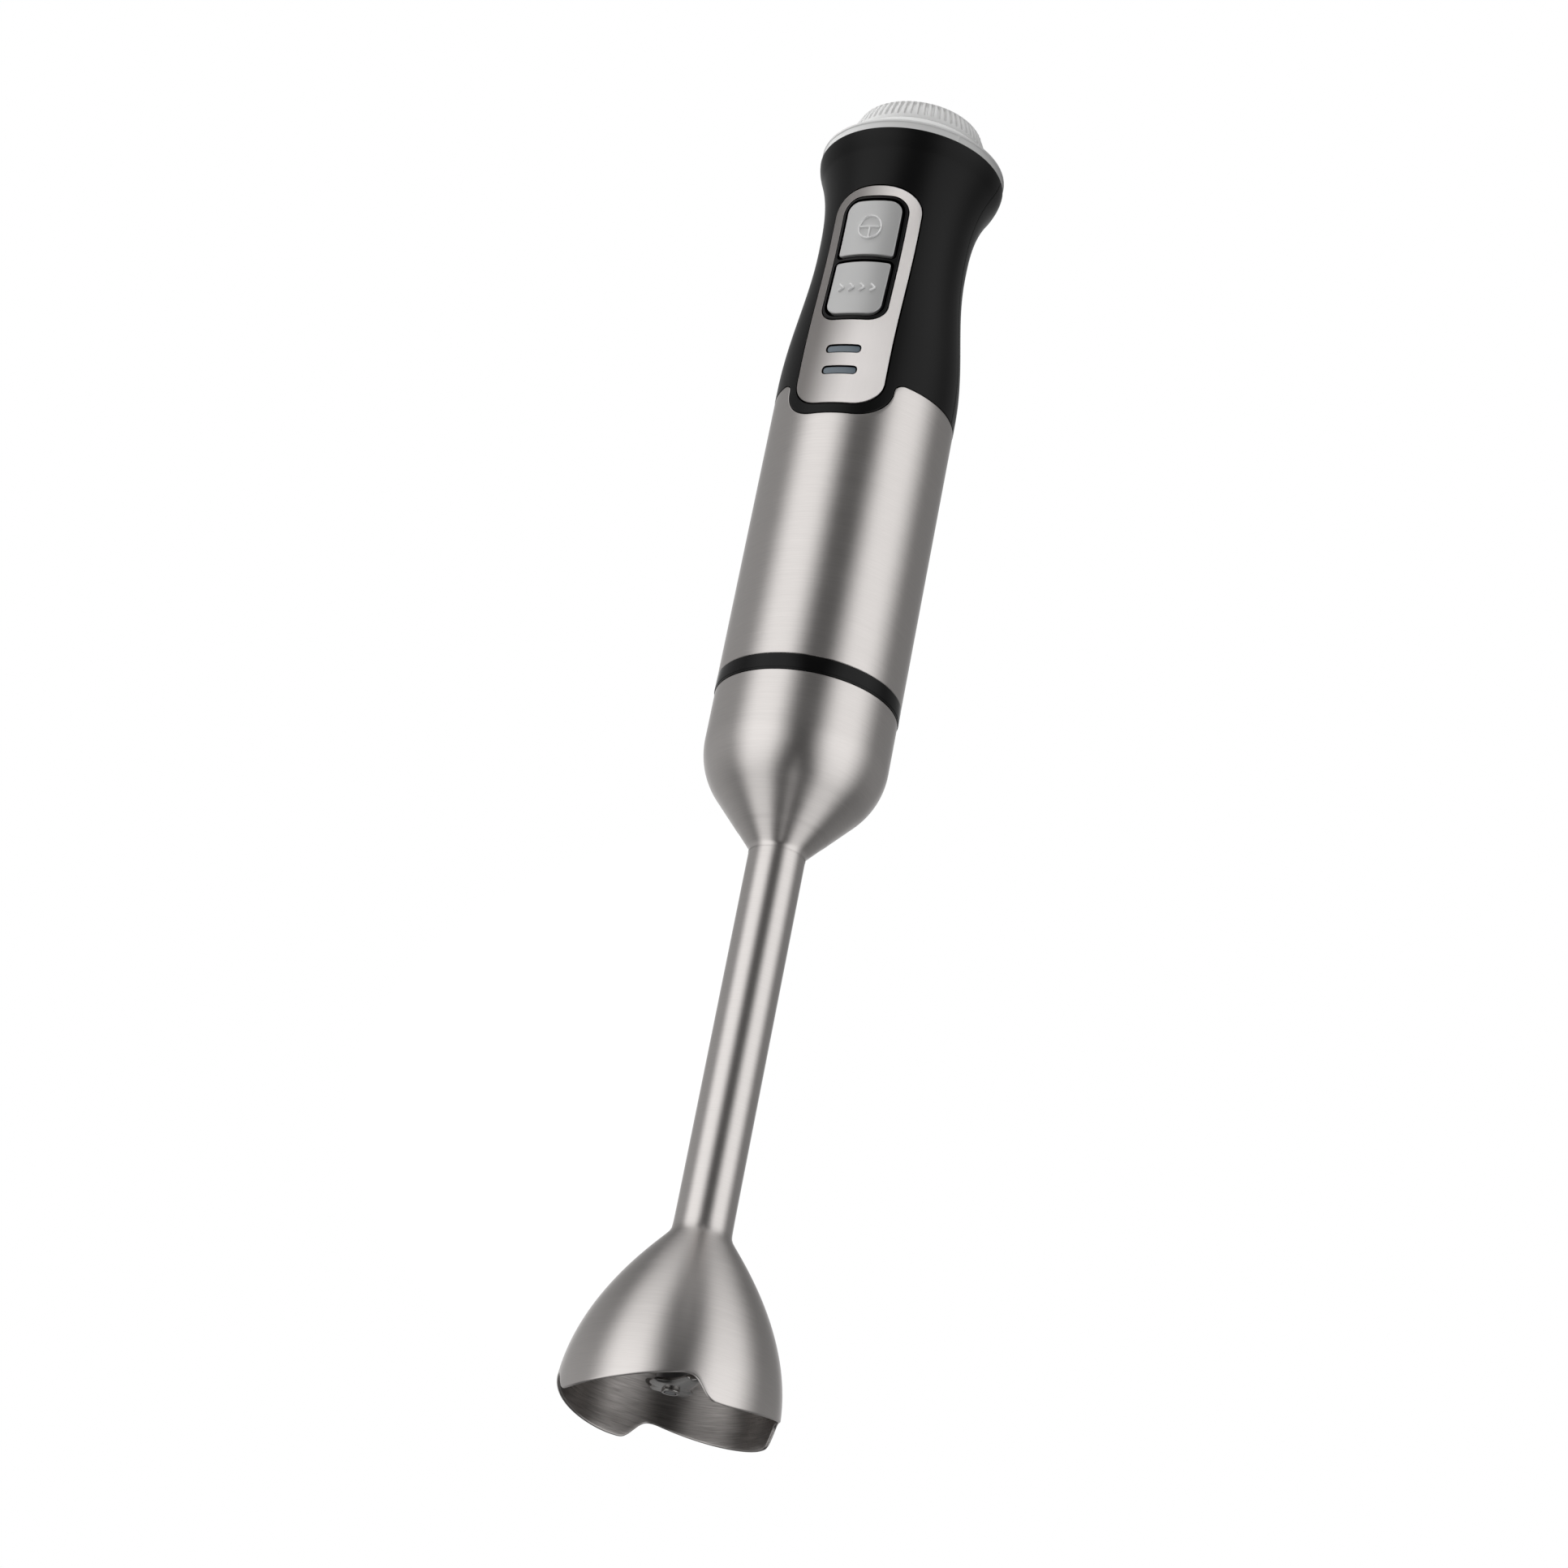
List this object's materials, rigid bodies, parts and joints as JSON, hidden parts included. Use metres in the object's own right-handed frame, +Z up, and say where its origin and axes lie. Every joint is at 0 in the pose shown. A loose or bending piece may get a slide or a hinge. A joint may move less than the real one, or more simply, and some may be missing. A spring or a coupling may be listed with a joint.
{
  "type": "immersion blender",
  "caption": "Hand-held immersion blender: steel leg with a lobed bell guard and blade, steel barrel, black waisted handle, thumb buttons and a ribbed speed dial.",
  "frame": {"origin": "on the shaft axis, in the plane of the bell rim's tips, which the part stands on", "axes": "+Z up along the shaft, from the bell to the speed dial; -Y towards the thumb panel; +X to the right of the panel as seen from the front"},
  "size_m": [0.0632, 0.0632, 0.4292],
  "materials": {
    "brushed_steel": "fine brushing around the axis",
    "panel_steel": "fine satin",
    "blade_steel": "ground",
    "dark_steel": "oiled",
    "soft_black": "soft-touch matt",
    "shell_black": "soft-touch matt",
    "inner_black": "moulded",
    "gloss_black": "polished",
    "pale_grey": "satin moulded",
    "button_silver": "satin metallic paint",
    "slate_lens": "tinted",
    "copper": "enamelled wire",
    "brass": "drawn",
    "bronze": "sintered",
    "carbon": "pressed",
    "board_green": "lacquered",
    "component": "moulded"
  },
  "bodies": {
    "leg": {"bell_guard": "brushed_steel", "shaft_tube": "brushed_steel", "coupling_cone": "brushed_steel", "leg_socket": "inner_black", "upper_bush": "bronze", "bell_hub": "inner_black", "lower_bush": "bronze", "shaft_seal": "soft_black"},
    "blade_shaft": {"drive_shaft": "dark_steel", "blade": "blade_steel", "blade_nut": "blade_steel", "blade_spacer": "dark_steel", "shaft_clip": "blade_steel", "leg_coupler": "inner_black"},
    "rotor": {"motor_shaft": "dark_steel", "rotor_core": "dark_steel", "rotor_windings": "copper", "commutator": "copper", "cooling_fan": "pale_grey", "motor_coupler": "pale_grey"},
    "upper_button": {"power_button": "button_silver"},
    "lower_button": {"turbo_button": "button_silver"},
    "dial": {"speed_dial": "pale_grey", "dial_spindle": "brass"},
    "motor_unit": {"coupling_band": "gloss_black", "lower_cap": "inner_black", "spigot_ring": "soft_black", "barrel_sleeve": "brushed_steel", "motor_carrier": "inner_black", "lower_vibration_ring": "soft_black", "upper_vibration_ring": "soft_black", "lower_bracket": "dark_steel", "upper_bracket": "inner_black", "lower_bearing": "bronze", "upper_bearing": "bronze", "stator_core": "dark_steel", "field_coils": "copper", "stator_screws": "blade_steel", "brush_holders": "brass", "carbon_brushes": "carbon", "handle_front_shell": "shell_black", "handle_rear_shell": "shell_black", "control_panel": "panel_steel", "button_surround": "soft_black", "indicator_lenses": "slate_lens", "switch_frame": "inner_black", "control_board": "board_green", "micro_switches": "inner_black", "board_capacitor": "component", "choke_coil": "copper", "terminal_block": "component", "speed_potentiometer": "dark_steel", "head_ring": "pale_grey", "cord_gland": "soft_black"}
  },
  "joints": [
    {"name": "motor_unit_lift", "type": "slide", "parent": "leg", "child": "motor_unit", "axis": [0, 0, 1], "range_m": [0, 0.04]},
    {"name": "blade_spin", "type": "hinge", "parent": "leg", "child": "blade_shaft", "pos_m": [0, 0, 0.1], "axis": [0, 0, 1], "continuous": true},
    {"name": "rotor_spin", "type": "hinge", "parent": "motor_unit", "child": "rotor", "pos_m": [0, 0, 0.266], "axis": [0, 0, 1], "continuous": true},
    {"name": "upper_button_press", "type": "slide", "parent": "motor_unit", "child": "upper_button", "axis": [0, 1, 0], "range_m": [0, 0.0012], "stiffness_N_per_m": 1500, "springref_m": -0.0006},
    {"name": "lower_button_press", "type": "slide", "parent": "motor_unit", "child": "lower_button", "axis": [0, 1, 0], "range_m": [0, 0.0012], "stiffness_N_per_m": 1500, "springref_m": -0.0006},
    {"name": "dial_turn", "type": "hinge", "parent": "motor_unit", "child": "dial", "pos_m": [0, 0, 0.42], "axis": [0, 0, 1], "range_deg": [-140, 140]}
  ],
  "couplings": [
    {"joint": "blade_spin", "follows": "rotor_spin", "ratio": 1}
  ]
}
